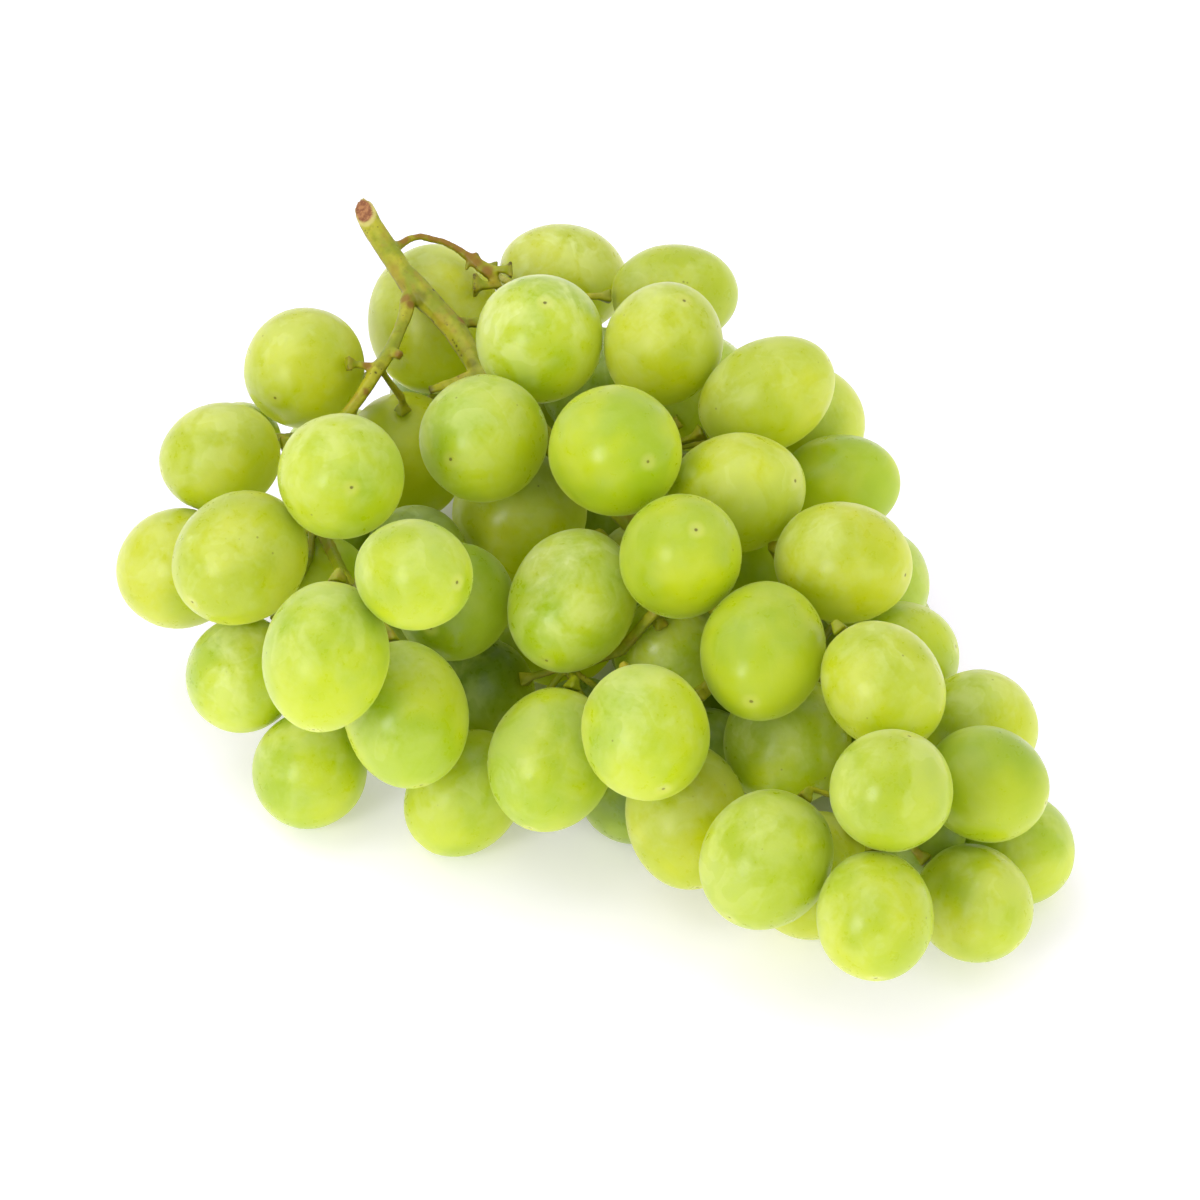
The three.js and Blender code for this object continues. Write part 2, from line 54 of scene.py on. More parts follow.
solids = {
    "mergeWithin": 0.001,
    "foldAngle": -0.2,  # radians: a dent sharper than this is where two berries are pressed together
    "restingSkin": 0.02,  # corners lower than this belong to the flat that a berry rests on
    "roundness": 0.15,  # a berry that is longer than it is wide by less than this counts as round
    "facetAllowance": 1.01,  # the solids are drawn larger by this, because their facets cut inside
}


def mergedCopy(name):
    mesh = bmesh.new()
    mesh.from_mesh(nodes[name].data)
    bmesh.ops.remove_doubles(mesh, verts=mesh.verts, dist=solids["mergeWithin"] * mm)
    return mesh


def fitEllipsoid(points):
    # least squares on the general quadric, about the points' own middle
    middle = points.mean(0)
    x, y, z = (points - middle).T
    terms = np.stack([x * x, y * y, z * z, 2 * x * y, 2 * x * z, 2 * y * z, 2 * x, 2 * y, 2 * z], 1)
    a, b, c, d, e, f, g, h, k = np.linalg.lstsq(terms, np.ones(len(x)), rcond=None)[0]
    form = np.array([[a, d, e], [d, b, f], [e, f, c]])
    offset = -np.linalg.solve(form, [g, h, k])
    scale = 1 + offset @ form @ offset
    squares, axes = np.linalg.eigh(form / scale)
    return middle + offset, 1 / np.sqrt(squares), axes


def isFold(edge):
    return edge.calc_face_angle_signed(0) < solids["foldAngle"]


def berryPatches(mesh):
    # the faces of one berry hang together, and a fold parts them from the next berry's
    patches = []
    for start in mesh.faces:
        if start.tag:
            continue
        start.tag = True
        patch, waiting = [], [start]
        while waiting:
            face = waiting.pop()
            patch.append(face)
            for edge in face.edges:
                if isFold(edge):
                    continue
                for other in edge.link_faces:
                    if not other.tag:
                        other.tag = True
                        waiting.append(other)
        patches.append(patch)
    return patches


def berryShape(patch):
    corners = {vert.index: vert for face in patch for vert in face.verts}
    own = [
        vert.co / mm
        for vert in corners.values()
        if vert.co.z > solids["restingSkin"] * mm and not any(isFold(edge) for edge in vert.link_edges)
    ]
    centre, halves, axes = fitEllipsoid(np.array(own))
    halves = halves / solids["facetAllowance"]
    # the blossom end is the tip of a long berry that is further from the stem; a round one faces away from it
    fromStem = centre - stemPoints
    nearest = fromStem[np.argmin(np.linalg.norm(fromStem, axis=1))]
    pole = nearest / np.linalg.norm(nearest)
    if halves[0] - halves[2] > solids["roundness"]:
        tips = [centre + side * halves[0] * axes[:, 0] for side in (1, -1)]
        clear = [np.linalg.norm(stemPoints - tip, axis=1).min() for tip in tips]
        pole = axes[:, 0] * (1 if clear[0] > clear[1] else -1)
    return {
        "centre": Vector(centre),
        "pole": Vector(pole),
        "half": (halves[1] + halves[2]) / 2,
        "halfLong": halves[0],
    }


def readBerries():
    shapes = []
    for name in sorted(nodes):
        if name == "rachis":
            continue
        mesh = mergedCopy(name)
        mesh.faces.index_update()
        mesh.verts.index_update()
        patches = berryPatches(mesh)
        for number, patch in enumerate(patches):
            shape = berryShape(patch)
            shape["node"] = name
            shape["name"] = name + "_fine" if len(patches) == 1 else f"{name}_{number + 1}"
            shapes.append(shape)
        mesh.free()
    return shapes


stemCopy = mergedCopy("rachis")
stemPoints = np.array([vert.co for vert in stemCopy.verts]) / mm
shapes = readBerries()
print("berries read from the frame:", len(shapes))


# Shader maths written as expressions.

class Socket:
    def __init__(self, graph, link):
        self.graph, self.link = graph, link

    def math(self, operation, *values):
        return self.graph.node("ShaderNodeMath", {"operation": operation}, *values)

    def __add__(self, other):
        return self.math("ADD", self, other)

    def __radd__(self, other):
        return self.math("ADD", self, other)

    def __sub__(self, other):
        return self.math("SUBTRACT", self, other)

    def __rsub__(self, other):
        return self.math("SUBTRACT", other, self)

    def __mul__(self, other):
        return self.math("MULTIPLY", self, other)

    def __rmul__(self, other):
        return self.math("MULTIPLY", self, other)

    def above(self, low, high):
        # 0 below low and 1 above high, with a smooth ramp between them
        settings = {"interpolation_type": "SMOOTHSTEP"}
        return self.graph.node("ShaderNodeMapRange", settings, self, low, high, 0.0, 1.0)

    def below(self, low, high):
        return 1 - self.above(low, high)


class Graph:
    def __init__(self, name):
        self.material = bpy.data.materials.new(name)
        self.material.use_nodes = True
        self.tree = self.material.node_tree
        self.shader = self.tree.nodes["Principled BSDF"]

    def feed(self, socket, value):
        if isinstance(value, Socket):
            self.tree.links.new(value.link, socket)
        else:
            socket.default_value = value

    def node(self, kind, settings, *values, output=0, **named):
        # values go to the first sockets in turn, and named ones to the sockets with those names
        made = self.tree.nodes.new(kind)
        for key, value in settings.items():
            setattr(made, key, value)
        for socket, value in zip(made.inputs, values):
            self.feed(socket, value)
        for key, value in named.items():
            self.feed(made.inputs[key], value)
        return Socket(self, made.outputs[output])

    def place(self):
        return self.node("ShaderNodeTexCoord", {}, output="Object")

    def attribute(self, name):
        return self.node("ShaderNodeAttribute", {"attribute_name": name}, output="Fac")

    def noise(self, place, size, detail=2.0, roughness=0.5, distortion=0.0):
        return self.node(
            "ShaderNodeTexNoise", {},
            Vector=place, Scale=1 / size, Detail=detail, Roughness=roughness, Distortion=distortion,
        )

    def dots(self, place, spacing, core, rim):
        # round spots, one to a cell of the given spacing, that fade out from core to rim
        return self.node("ShaderNodeTexVoronoi", {}, Vector=place, Scale=1 / spacing).below(core, rim)

    def blend(self, factor, first, second):
        # of a Mix node's sockets, inputs 6 and 7 and output 2 are the colours
        mixed = self.node("ShaderNodeMix", {"data_type": "RGBA"}, factor, output=2)
        self.feed(mixed.link.node.inputs[6], first)
        self.feed(mixed.link.node.inputs[7], second)
        return mixed

    def bump(self, height, depth, strength, **under):
        return self.node("ShaderNodeBump", {}, Height=height, Distance=depth, Strength=strength, **under)

    def set(self, **values):
        for key, value in values.items():
            self.feed(self.shader.inputs[key.replace("_", " ")], value)


def linear(red, green, blue):
    # a colour as it looks on a screen, 0 to 255, as the shader's linear one
    def channel(value):
        value = value / 255
        return value / 12.92 if value <= 0.04045 else ((value + 0.055) / 1.055) ** 2.4
    return (channel(red), channel(green), channel(blue), 1.0)


def finishPiece(mesh, name, material, node):
    # a fine piece on the bunch, in place of the plain node
    for face in mesh.faces:
        face.smooth = True
    data = bpy.data.meshes.new(name)
    mesh.to_mesh(data)
    mesh.free()
    data.materials.append(material)
    piece = bpy.data.objects.new(name, data)
    bpy.context.scene.collection.objects.link(piece)
    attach(piece, "root")
    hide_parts(node)


# Berries: fine ellipsoids with a dimple where the stem holds them and a scar at the blossom end.

berry = {
    "segments": 44,
    "rings": 36,
    "poleCrowding": 0.62,  # rings are closer together at both ends
    "swell": 0.22,  # fills most of the gap that the solids keep
    "waviness": 0.2,
    "waveLength": 9.0,
    "scarDepth": 0.22,
    "scarWidth": 0.9,
    "dimpleDepth": 0.5,
    "dimpleWidth": 2.6,
    "neighbourWithin": 34,  # from middle to middle
    "contactReach": 1.2,  # neighbours nearer than this press a flat on each other
    "contactSoftness": 0.12,
    "contactGap": 0.03,
    "litSide": Vector((-0.42, -0.22, 0.88)),  # painted light: the real wax bloom is made paler on the side toward the key lamp
    # 0 is a green berry and 1 a golden one; below 0 is painted shade, down to -1 for the deepest, for berries
    # deep in the bunch or at its dim end; the rest fall by chance from 0 to 1
    "toneAndShadeOf": {
        "near_middle_berry_1": -0.6,
        "near_middle_berry_2": -0.95,
        "near_flank_berry_1": -0.25,
        "near_wing_berry_1": -0.2,
        "tail_berry_1": -0.3,
        "tail_berry_2": -0.32,
        "near_shoulder_berry_1": 0.9,
        "near_flank_berry_2": 1.0,
        "far_shoulder_berry_1": 1.0,
        "far_shoulder_berry_2": 1.0,
        "far_crest_berry_3": 0.9,
        "far_edge_berry_1": 0.8,
    },
    "rubbed": (
        "near_edge_berry_4", "near_middle_berry_1", "near_flank_berry_1", "near_crown_berry_2",
        "crest_berry_1", "far_middle_berry_2", "far_middle_berry_3", "stem_end_berry_2", "tail_berry_2",
    ),
    "dusty": (
        "near_crown_berry_1", "near_crown_berry_3", "near_edge_berry_5", "top_berry_3",
        "far_shoulder_berry_2", "far_flank_berry_4",
    ),
    "rubbedBloom": 0.35,
    "plainBloom": 1.0,
    "dustyBloom": 1.6,
}


def reach(shape, way):
    # how far the berry reaches from its middle, along a way of unit length
    along = shape["pole"].dot(way)
    return math.sqrt(shape["half"] ** 2 * (1 - along ** 2) + shape["halfLong"] ** 2 * along ** 2)


def contactPlanes(shape):
    # the table, and the plane between this berry and each neighbour that it touches
    planes = [(Vector((0, 0, 0)), Vector((0, 0, -1)))]
    for other in shapes:
        line = other["centre"] - shape["centre"]
        distance = line.length
        if other is shape or distance > berry["neighbourWithin"]:
            continue
        line /= distance
        mine, theirs = reach(shape, line), reach(other, line)
        gap = distance - mine - theirs
        if gap < berry["contactReach"]:
            planes.append((shape["centre"] + line * (mine + gap / 2 - berry["contactGap"]), line))
    return planes


def pressed(point, planes):
    # a point past a contact plane is eased back behind it
    soft = berry["contactSoftness"]
    for origin, outward in planes:
        depth = (point - origin).dot(outward)
        if depth > -5 * soft:  # further back than this the easing comes to nothing
            eased = -soft * math.log1p(math.exp(min(40, -depth / soft)))
            point = point + outward * (eased - depth)
    return point


def berryPoint(unit, shape, turn):
    # unit is a point of the unit sphere with the blossom end at +Z
    polar = math.acos(max(-1, min(1, unit.z)))
    polar -= berry["poleCrowding"] * math.sin(2 * polar) / 2
    around = math.atan2(unit.y, unit.x)
    half, halfLong = shape["half"] + berry["swell"], shape["halfLong"] + berry["swell"]
    across = half * math.sin(polar)
    local = Vector((across * math.cos(around), across * math.sin(around), halfLong * math.cos(polar)))
    fromScar, fromStem = half * polar, half * (math.pi - polar)
    local.z -= berry["scarDepth"] * math.exp(-(fromScar / berry["scarWidth"]) ** 2)
    local.z += berry["dimpleDepth"] * math.exp(-(fromStem / berry["dimpleWidth"]) ** 2)
    wave = noise.noise((local + shape["centre"]) / berry["waveLength"])
    local += local.normalized() * berry["waviness"] * wave
    return shape["centre"] + turn @ local, fromScar


def bloomOn(name):
    if name in berry["rubbed"]:
        return berry["rubbedBloom"]
    return berry["dustyBloom"] if name in berry["dusty"] else berry["plainBloom"]


def buildBerry(shape, material):
    mesh = bmesh.new()
    bmesh.ops.create_uvsphere(mesh, u_segments=berry["segments"], v_segments=berry["rings"], radius=1)
    layers = {name: mesh.verts.layers.float.new(name) for name in ("fromScar", "toneAndShade", "waxy", "litShare")}
    turn = shape["pole"].to_track_quat("Z", "Y")
    planes = contactPlanes(shape)
    toneAndShade = berry["toneAndShadeOf"].get(shape["node"], abs(noise.cell(shape["centre"])))
    for vert in mesh.verts:
        point, fromScar = berryPoint(vert.co.copy(), shape, turn)
        vert.co = pressed(point, planes) * mm
        vert[layers["fromScar"]] = fromScar
        vert[layers["toneAndShade"]] = toneAndShade
        vert[layers["waxy"]] = bloomOn(shape["node"])
        # painted light: how far each point faces the key lamp, for a paler lit side and a glow on the shaded
        # side
        vert[layers["litShare"]] = 0.5 + 0.5 * (point - shape["centre"]).normalized().dot(berry["litSide"])
    finishPiece(mesh, shape["name"], material, shape["node"])


skin = {
    # berries in the open, then a darker copy for those inside the bunch, which is painted shade; "through" is
    # the colour of a painted glow that stands in for light coming through the flesh
    "skin": {
        "name": "grape skin",
        "deep": linear(158, 182, 0),
        "fresh": linear(184, 198, 4),
        "bloom": linear(216, 224, 158),
        "through": linear(178, 196, 0),
    },
    "skin_shaded": {
        "name": "grape skin, shaded",
        "deep": linear(108, 134, 10),
        "fresh": linear(152, 173, 38),
        "bloom": linear(200, 212, 156),
        "through": linear(120, 140, 0),
    },
    "golden": linear(200, 192, 20),
    "goldenShare": 0.35,
    # the painted shade that berries given a value below 0 are darkened towards
    "paintedShadeColour": linear(108, 134, 10),
    "halo": linear(214, 214, 126),
    "haloShare": 0.4,
    "haloReach": (0.7, 2.2),
    "speck": linear(96, 84, 22),
    "speckShare": 0.5,
    "scarShare": 0.8,
    "scarReach": (0.18, 0.42),
    "patchSize": 14 * mm,
    "cloudSize": 9 * mm,
    "smearSize": 7.2 * mm,
    "mottleSize": 1.8 * mm,
    "mottleDepth": 0.05 * mm,
    "grainSize": 0.5 * mm,
    "grainDepth": 0.02 * mm,
    "speckSpacing": 3.2 * mm,
    "speckGroupSize": 8.4 * mm,
    # how thick the wax lies everywhere, and what clouds, smears, their edges and mottling add
    "thinWax": 0.05,
    "cloudWax": 0.24,
    "smearWax": 0.07,
    "edgeWax": 0.05,
    "mottledWax": 0.08,
    "shadedSideWax": 0.15,  # the share of it left on the side away from the key lamp
    "litSideWax": 1.1,  # and how much the share rises toward the lit side, which is painted paler
    "roughness": 0.3,
    "coat": 0.26,
    "coatRoughness": 0.24,
    "sheen": 0.2,
    "sheenRoughness": 0.3,
    "sheenTint": linear(240, 246, 200),
    "subsurface": 0.85,
    "subsurfaceScale": 8 * mm,
    "scatter": (0.9, 1.0, 0.12),
    "forwardScatter": 0.4,
    # strength of the painted glow on the shaded side of each berry
    "paintedGlow": 0.16,
}


def berrySkin(colours):
    graph = Graph(colours["name"])
    place = graph.place()
    fromScar, toneAndShade, litShare = graph.attribute("fromScar"), graph.attribute("toneAndShade"), graph.attribute("litShare")
    # the flesh shows deeper green in some parts and golden in others, and berries given a value below 0 are
    # darkened with painted shade
    patches = graph.noise(place, skin["patchSize"])
    colour = graph.blend(patches.above(0.36, 0.66), colours["deep"], colours["fresh"])
    colour = graph.blend(skin["goldenShare"] * toneAndShade.above(0.45, 1.0), colour, skin["golden"])
    colour = graph.blend(toneAndShade.below(-1.0, 0.0), colour, skin["paintedShadeColour"])
    # the wax bloom lies in soft clouds, and in smears that stop at a sharp edge
    clouds = graph.noise(place, skin["cloudSize"], 3.0, 0.55, 0.6)
    mottle = graph.noise(place, skin["mottleSize"], 3.0, 0.6) - 0.5
    smears = graph.noise(place, skin["smearSize"], 2.0, 0.5, 0.6)
    wax = (clouds + 0.22 * mottle).above(0.36, 0.64)
    smear = (smears + 0.06 * mottle).above(0.5, 0.54)
    edge = smear * smears.below(0.54, 0.66)
    thickness = skin["thinWax"] + skin["cloudWax"] * wax + skin["smearWax"] * wax * smear
    thickness = thickness + skin["edgeWax"] * edge + skin["mottledWax"] * mottle
    # painted light: the bloom is thicker and paler toward the key lamp and thinner on the shaded side
    thickness = thickness * (skin["shadedSideWax"] + skin["litSideWax"] * litShare) * graph.attribute("waxy")
    colour = graph.blend(thickness, colour, colours["bloom"])
    # small brown specks in groups, and the dry scar of the blossom in its pale ring
    specks = graph.dots(place, skin["speckSpacing"], 0.045, 0.09)
    groups = graph.noise(place, skin["speckGroupSize"], 1.0).above(0.56, 0.6)
    scar = (fromScar + 0.5 * mottle).below(*skin["scarReach"])
    halo = fromScar.below(*skin["haloReach"])
    colour = graph.blend(skin["haloShare"] * halo, colour, skin["halo"])
    colour = graph.blend(skin["speckShare"] * specks * groups, colour, skin["speck"])
    colour = graph.blend(skin["scarShare"] * scar, colour, skin["speck"])
    # the wax, the scar and the mottling also break up the gloss
    grain = graph.bump(graph.noise(place, skin["grainSize"]), skin["grainDepth"], 0.35)
    graph.set(
        Base_Color=colour,
        Roughness=skin["roughness"] + 0.16 * wax + 0.3 * scar + 0.3 * mottle,
        Normal=graph.bump(mottle, skin["mottleDepth"], 0.7, Normal=grain),
        Coat_Weight=skin["coat"] * (1 - 0.6 * wax),
        Coat_Roughness=skin["coatRoughness"],
        Subsurface_Weight=skin["subsurface"],
        Subsurface_Radius=skin["scatter"],
        Subsurface_Scale=skin["subsurfaceScale"],
        Subsurface_Anisotropy=skin["forwardScatter"],
        # a painted glow on the side away from the key lamp, standing in for light through the flesh
        Emission_Color=graph.blend(litShare.below(0.15, 0.85), black, colours["through"]),
        Emission_Strength=skin["paintedGlow"],
        Sheen_Weight=skin["sheen"],
        Sheen_Roughness=skin["sheenRoughness"],
        Sheen_Tint=skin["sheenTint"],
        IOR=1.4,
    )
    return graph.material


# the darker shaded skin goes to berries inside the bunch, as painted shade
skins = {slot: berrySkin(skin[slot]) for slot in ("skin", "skin_shaded")}
for shape in shapes:
    buildBerry(shape, skins[slotOfNode[shape["node"]]])
print("berries built:", len(shapes))


# Stem: the plain solid made fine and round, with uneven bark, a slanting cut and bare discs.

stem = {
    "voxel": 0.34,
    "smoothing": 4,
    "fatten": 0.1,
    "ridge": 0.08,
    "ridgeLength": 2.2,
    "fineRidges": 1.7,  # per mm
    "fleckDepth": 0.2,
    "serration": 0.35,
    "teeth": 1.3,  # per mm
    "rimBand": (0.45, 0.85),  # a bare disc turns ragged over this share of its radius
    "rimReach": 1.4,
    "rimDepth": 1.0,
    "cutThrough": (-89.2, 13.3, 63.4),  # a point on the slanting cut
    "cutFacing": (-0.262, -0.389, 0.883),
    "cutAlong": (-0.87, 0.146, 0.46),  # the way that the cut end of the stem runs
    "cutRadius": 2.0,
    "cutWithin": 7,
    "cutBand": (-0.6, -0.35),
    "rindBand": (0.74, 0.92),  # the rind round the cut, as a share of its radius
    "tipStretch": 1.2,
    "tipRun": (-2, 3),
    "tipBefore": -80,
    "crowdWithin": 15,  # berries this near darken the stem with painted shade
    "crowdBand": (2.2, 3.4),
    "underBand": (-0.3, 0.6),
    # marks on the bark: where each one is and how far it spreads
    "brown": [
        # along the upper bare twig
        (-80.9, 16.0, 60.6, 1.5),
        (-80.7, 19.6, 60.2, 1.8),
        (-78.7, 21.5, 59.6, 1.8),
        (-76.9, 23.3, 58.8, 1.8),
        (-74.9, 24.4, 57.8, 1.6),
        (-72.9, 25.6, 56.6, 1.7),
        (-71.7, 26.1, 55.5, 1.6),
        (-69.3, 26.8, 54.2, 1.6),
        # knots at the forks
        (-70.7, 8.2, 56.1, 1.2),
        (-69.2, 8.2, 55.7, 1.1),
        (-61.5, 14.7, 53.3, 1.3),
        # along the lower bare branch
        (-62.5, -7.6, 52.7, 1.1),
        (-60.5, -1.4, 53.2, 1.1),
        (-58.2, -11.0, 50.8, 0.9),
    ],
    "shade": [
        (-69.1, 10.3, 56.0, 1.7),
        (-67.0, 14.2, 55.2, 1.0),
        (-60.3, 13.2, 51.6, 1.2),
        (-78.7, 22.3, 58.6, 1.0),
        (-71.1, 24.6, 54.6, 1.4),
        (-70.1, 27.0, 53.0, 1.4),
        (-65.7, 10.2, 52.9, 0.8),
        (-61.1, -5.6, 52.3, 1.0),
        (-53.6, 10.2, 49.7, 1.2),
    ],
    "dark": [
        # a split in the bark
        (-59.6, 10.6, 51.6, 0.32),
        (-59.1, 10.55, 51.35, 0.3),
        (-58.3, 10.5, 51.0, 0.34),
        (-57.5, 10.3, 50.5, 0.3),
        (-56.5, 10.1, 50.0, 0.34),
        # single flecks and scars
        (-69.0, 13.8, 56.6, 0.4),
        (-65.2, 10.5, 52.7, 0.3),
        (-60.1, -7.3, 52.5, 0.35),
        (-72.0, 27.4, 57.0, 0.7),
        (-58.2, 3.9, 43.8, 1.5),
    ],
    # bare discs: the middle, the way the lost berry lay, and the radius
    "discs": [
        ((-68.7, 23.0, 53.4), (-0.6, -0.8, 0.06), 2.7),
        ((-66.3, 30.6, 54.8), (0.66, 0.75, 0.0), 1.95),
        ((-64.6, -10.8, 53.6), (-0.46, -0.86, 0.22), 1.75),
    ],
}


def unitVector(way):
    return np.array(way) / np.linalg.norm(way)


def ramp(values, low, high):
    # 0 below low and 1 above high, as a shader's smooth ramp is
    share = np.clip((values - low) / (high - low), 0, 1)
    return share * share * (3 - 2 * share)


def marksOn(points, marks):
    mask = np.zeros(len(points))
    for x, y, z, spread in marks:
        distance = np.linalg.norm(points - (x, y, z), axis=1)
        mask = np.maximum(mask, np.exp(-((distance / spread) ** 2)))
    return mask


def discRims(points):
    # how far each point is into a disc's ragged rim, and the way out from the disc's axis
    rim, outward = np.zeros(len(points)), np.zeros((len(points), 3))
    for centre, facing, radius in stem["discs"]:
        facing = unitVector(facing)
        offset = points - centre
        height = offset @ facing
        across = offset - height[:, None] * facing
        distance = np.linalg.norm(across, axis=1)
        onDisc = (distance < stem["rimReach"] * radius) & (abs(height) < stem["rimDepth"])
        here = ramp(distance / radius, *stem["rimBand"]) * onDisc
        rim = np.maximum(rim, here)
        outward += (here / np.maximum(distance, 0.1))[:, None] * across
    return rim, outward


def crowding(points):
    # how closely the berries stand round each point
    crowd = np.zeros(len(points))
    for shape in shapes:
        distance = np.linalg.norm(points - np.array(shape["centre"]), axis=1)
        crowd += np.exp(-(distance / stem["crowdWithin"]) ** 2)
    return crowd


def cutMasks(points):
    # 1 on the slanting cut, and 1 in the rind round its edge
    offset = points - stem["cutThrough"]
    along = unitVector(stem["cutAlong"])
    distance = np.linalg.norm(offset - (offset @ along)[:, None] * along, axis=1)
    nearCut = np.linalg.norm(offset, axis=1) < stem["cutWithin"]
    cut = ramp(offset @ unitVector(stem["cutFacing"]), *stem["cutBand"]) * nearCut
    return cut, ramp(distance / stem["cutRadius"], *stem["rindBand"])


def tipShare(points):
    # how far each point is up the cut end, which is drawn out a little
    along = (points - stem["cutThrough"]) @ stem["cutAlong"]
    return ramp(along, *stem["tipRun"]) * (points[:, 0] < stem["tipBefore"])


def roundedStem():
    rough = bpy.data.objects.new("stem raw", bpy.data.meshes.new("stem raw"))
    stemCopy.to_mesh(rough.data)
    stemCopy.free()
    bpy.context.scene.collection.objects.link(rough)
    remesh = rough.modifiers.new("fuse", "REMESH")
    remesh.mode, remesh.voxel_size = "VOXEL", stem["voxel"] * mm
    smooth = rough.modifiers.new("round", "SMOOTH")
    smooth.factor, smooth.iterations = 0.5, stem["smoothing"]
    mesh = bmesh.new()
    mesh.from_mesh(rough.evaluated_get(bpy.context.evaluated_depsgraph_get()).to_mesh())
    bpy.data.objects.remove(rough)
    mesh.normal_update()
    return mesh


def buildStem(material):
    mesh = roundedStem()
    points = np.array([vert.co for vert in mesh.verts]) / mm
    normals = np.array([vert.normal for vert in mesh.verts])
    rim, outward = discRims(points)
    cut, rind = cutMasks(points)
    masks = {
        "brown": marksOn(points, stem["brown"]) * (0.6 + 0.4 * normals[:, 2]),
        "shade": marksOn(points, stem["shade"]),
        "dark": marksOn(points, stem["dark"]),
        "rim": rim,
        "cut": cut,
        "rind": rind,
        # painted shade: darker among crowded berries and on the underside
        "crowdShade": ramp(crowding(points), *stem["crowdBand"]),
        "under": ramp(-normals[:, 2], *stem["underBand"]),
    }
    layers = {name: mesh.verts.layers.float.new(name) for name in masks}
    tip = tipShare(points)
    stretch = Vector(unitVector(stem["cutAlong"])) * stem["tipStretch"]
    for number, vert in enumerate(mesh.verts):
        point = Vector(points[number])
        ridge = noise.noise(point / stem["ridgeLength"]) + 0.5 * noise.noise(point * stem["fineRidges"])
        swell = stem["fatten"] + stem["ridge"] * ridge * (1 - cut[number])
        swell -= stem["fleckDepth"] * masks["dark"][number]
        ragged = stem["serration"] * rim[number] * noise.noise(point * stem["teeth"])
        move = Vector(normals[number]) * swell + Vector(outward[number]) * ragged + stretch * tip[number]
        vert.co += move * mm
        for name, layer in layers.items():
            vert[layer] = masks[name][number]
    finishPiece(mesh, "stem", material, "rachis")


bark = {
    "green": linear(140, 150, 8),
    "pale": linear(178, 174, 34),
    "streak": linear(124, 116, 4),
    "tan": linear(164, 136, 38),
    "brown": linear(140, 100, 24),
    "shade": linear(106, 102, 4),
    "dark": linear(64, 50, 10),
    # the painted shade on the stem among the berries
    "crowdShade": linear(112, 98, 22),
    "rim": linear(142, 126, 20),
    "wood": linear(132, 76, 38),
    "pith": linear(176, 120, 72),
    "rind": linear(200, 190, 104),
    "patchSize": 6 * mm,
    "tanSize": 4 * mm,
    "streakSize": 1.2 * mm,
    "dotSpacing": 1.1 * mm,
    "relief": 0.12 * mm,
    "roughness": 0.34,
    "gloss": 0.4,
    "subsurface": 0.15,
    "subsurfaceScale": 0.8 * mm,
    "scatter": (0.6, 0.8, 0.2),
}


def stemBark():
    graph = Graph("stem bark")
    place = graph.place()
    mark = graph.attribute
    patches = graph.noise(place, bark["patchSize"], 3.0, 0.6)
    streak = graph.noise(place, bark["streakSize"], 4.0, 0.65)
    tan = graph.noise(place, bark["tanSize"], 2.0, 0.6).above(0.5, 0.7)
    colour = graph.blend(patches.above(0.36, 0.64), bark["green"], bark["pale"])
    colour = graph.blend(0.6 * tan, colour, bark["tan"])
    colour = graph.blend(0.5 * streak.above(0.52, 0.74), colour, bark["streak"])
    # shaded forks and brown knots, with uneven edges
    shade = (mark("shade") + 0.7 * (streak - 0.5)).above(0.15, 0.8)
    brown = (mark("brown") + 0.5 * (streak - 0.5)).above(0.12, 0.75)
    colour = graph.blend(0.6 * shade, colour, bark["shade"])
    colour = graph.blend(0.9 * brown, colour, bark["brown"])
    # dots in groups, then painted shade on the underside and on the parts among the berries
    dots = graph.dots(place, bark["dotSpacing"], 0.1, 0.2) * patches.above(0.52, 0.6)
    colour = graph.blend(0.6 * dots, colour, bark["dark"])
    colour = graph.blend(0.55 * mark("under"), colour, bark["shade"])
    colour = graph.blend(0.6 * mark("crowdShade"), colour, bark["crowdShade"])
    # the discs' ragged rims, the flecks, and the wood that the cut lays bare
    rim = mark("rim")
    toothed = (streak + 0.16 * rim).above(0.62, 0.74) * rim
    colour = graph.blend(0.6 * rim, colour, bark["rim"])
    colour = graph.blend(0.8 * toothed, colour, bark["dark"])
    colour = graph.blend(0.85 * mark("dark").above(0.2, 0.8), colour, bark["dark"])
    wood = graph.blend(streak.above(0.42, 0.62), bark["wood"], bark["pith"])
    wood = graph.blend(mark("rind"), wood, bark["rind"])
    graph.set(
        Base_Color=graph.blend(mark("cut"), colour, wood),
        Roughness=bark["roughness"] + 0.2 * streak,
        Specular_IOR_Level=bark["gloss"],
        Normal=graph.bump(streak, bark["relief"], 0.6),
        Subsurface_Weight=bark["subsurface"],
        Subsurface_Radius=bark["scatter"],
        Subsurface_Scale=bark["subsurfaceScale"],
    )
    return graph.material


buildStem(stemBark())
print("stem built")


# Table, sky, lamps and camera.

table = {
    "size": 4.0,
    "colour": (0.87, 0.84, 0.95, 1.0),
    "roughness": 0.7,
    "gloss": 0.2,
    "glow": 0.3,
    "glowColour": (0.93, 0.9, 1.0, 1.0),
    "shadeMiddle": (-15 * mm, 15 * mm),  # a painted shadow: no glow under the bunch, in an oval with this middle
    "shadeHalves": (80 * mm, 45 * mm),
    "shadeEdge": (0.65, 1.0),  # the glow rises over this share of the oval
}


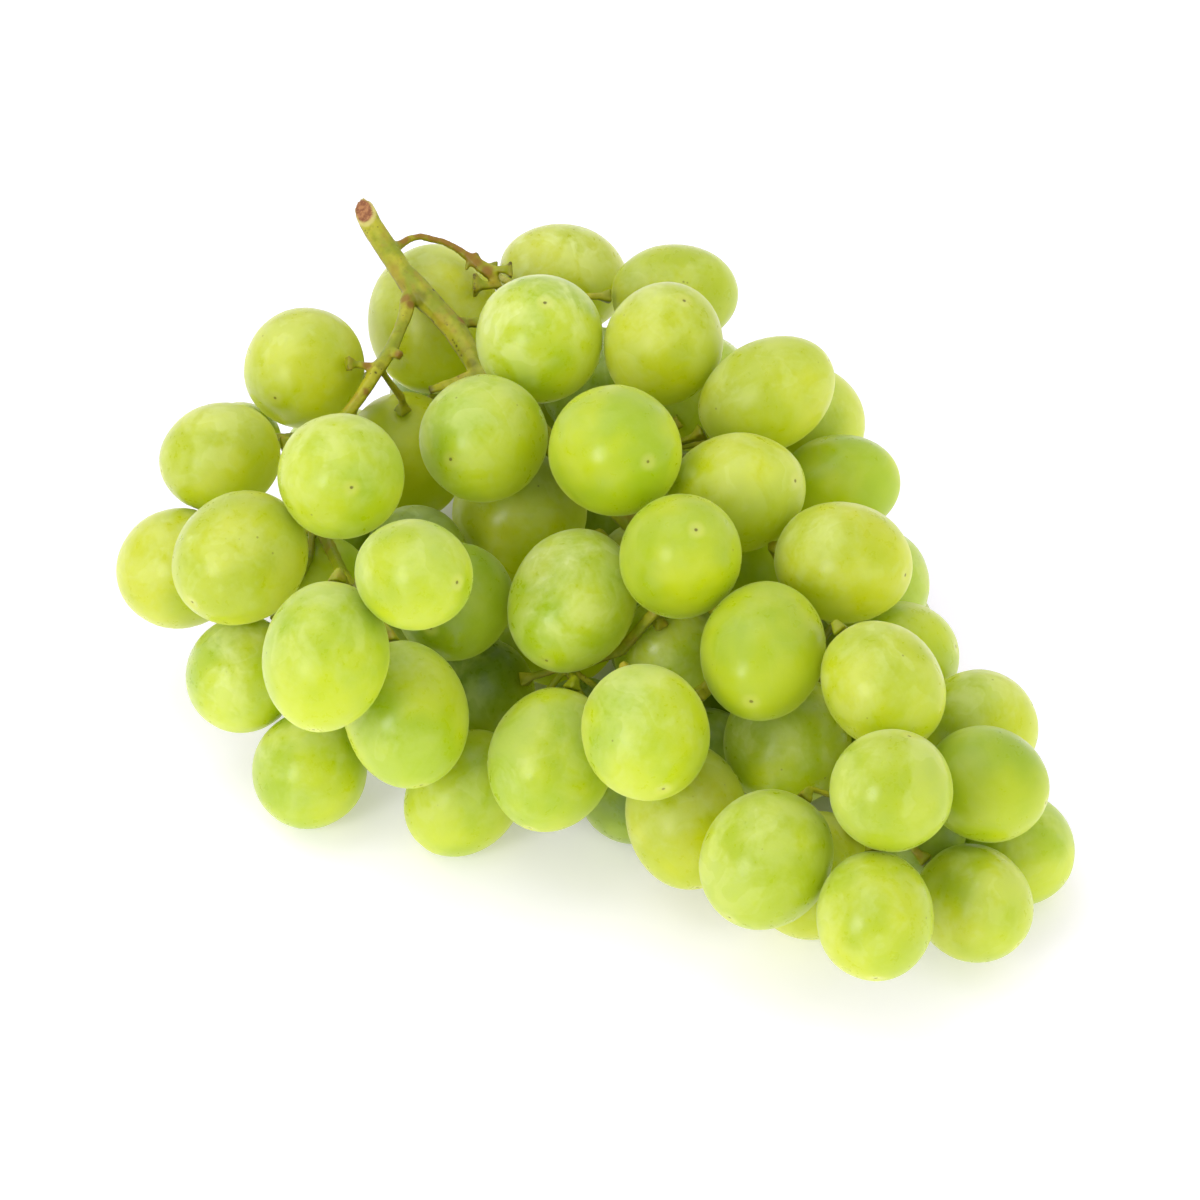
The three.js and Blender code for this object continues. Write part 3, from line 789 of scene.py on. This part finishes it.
def buildTable():
    mesh = bmesh.new()
    bmesh.ops.create_grid(mesh, x_segments=1, y_segments=1, size=table["size"] / 2)
    data = bpy.data.meshes.new("table")
    mesh.to_mesh(data)
    mesh.free()
    graph = Graph("pale table")
    (x, y), (wide, deep) = table["shadeMiddle"], table["shadeHalves"]
    scale, shift = (1 / wide, 1 / deep, 0), (-x / wide, -y / deep, 0)
    place = graph.node("ShaderNodeVectorMath", {"operation": "MULTIPLY_ADD"}, graph.place(), scale, shift)
    fromMiddle = graph.node("ShaderNodeVectorMath", {"operation": "LENGTH"}, place, output="Value")
    graph.set(
        Base_Color=table["colour"],
        Roughness=table["roughness"],
        Specular_IOR_Level=table["gloss"],
        # painted shadow: the glow is left out under the bunch
        Emission_Color=graph.blend(fromMiddle.above(*table["shadeEdge"]), black, table["glowColour"]),
        Emission_Strength=table["glow"],
    )
    data.materials.append(graph.material)
    top = bpy.data.objects.new("table", data)
    bpy.context.scene.collection.objects.link(top)


lamps = {
    "aim": Vector((0, 0, 0.03)),
    "key": {"from": Vector((-0.49, -0.27, 1.4)), "size": (1.1, 1.1), "power": 5.6, "glossy": True},
    "glow": {"from": Vector((0.16, -0.88, 0.48)), "size": (0.3, 0.42), "power": 3.0, "glossy": True},
    "fill": {"from": Vector((1.03, 0.39, 0.3)), "size": (0.7, 0.7), "power": 2.6, "glossy": False},
}


def buildLamp(name):
    lamp = lamps[name]
    light = bpy.data.lights.new(name, "AREA")
    light.shape, light.energy = "RECTANGLE", lamp["power"]
    light.size, light.size_y = lamp["size"]
    holder = bpy.data.objects.new(name, light)
    bpy.context.scene.collection.objects.link(holder)
    holder.location = lamp["from"]
    holder.rotation_euler = (lamp["from"] - lamps["aim"]).to_track_quat("Z", "Y").to_euler()
    holder.visible_glossy = lamp["glossy"]


camera = {
    "azimuth": 50.0,
    "elevation": 40.0,
    "distance": 1.0,
    "target": Vector((-1.19, -2.06, 32.0)) * mm,
    "lens": 163.5,
    "sensor": 36.0,
}


def buildCamera():
    azimuth, elevation = math.radians(camera["azimuth"]), math.radians(camera["elevation"])
    back = Vector((
        math.sin(azimuth) * math.cos(elevation),
        -math.cos(azimuth) * math.cos(elevation),
        math.sin(elevation),
    ))
    data = bpy.data.cameras.new("camera")
    data.lens, data.sensor_width = camera["lens"], camera["sensor"]
    holder = bpy.data.objects.new("camera", data)
    bpy.context.scene.collection.objects.link(holder)
    holder.location = camera["target"] + back * camera["distance"]
    holder.rotation_euler = back.to_track_quat("Z", "Y").to_euler()
    bpy.context.scene.camera = holder


sky = {"colour": (1.0, 1.0, 1.0, 1.0), "strength": 0.82}


def buildSky():
    world = bpy.data.worlds.new("sky")
    world.use_nodes = True
    background = world.node_tree.nodes["Background"]
    background.inputs["Color"].default_value = sky["colour"]
    background.inputs["Strength"].default_value = sky["strength"]
    bpy.context.scene.world = world
    bpy.context.scene.view_settings.view_transform = "Standard"


buildTable()
buildSky()
for name in ("key", "glow", "fill"):
    buildLamp(name)
buildCamera()
print("stage built")
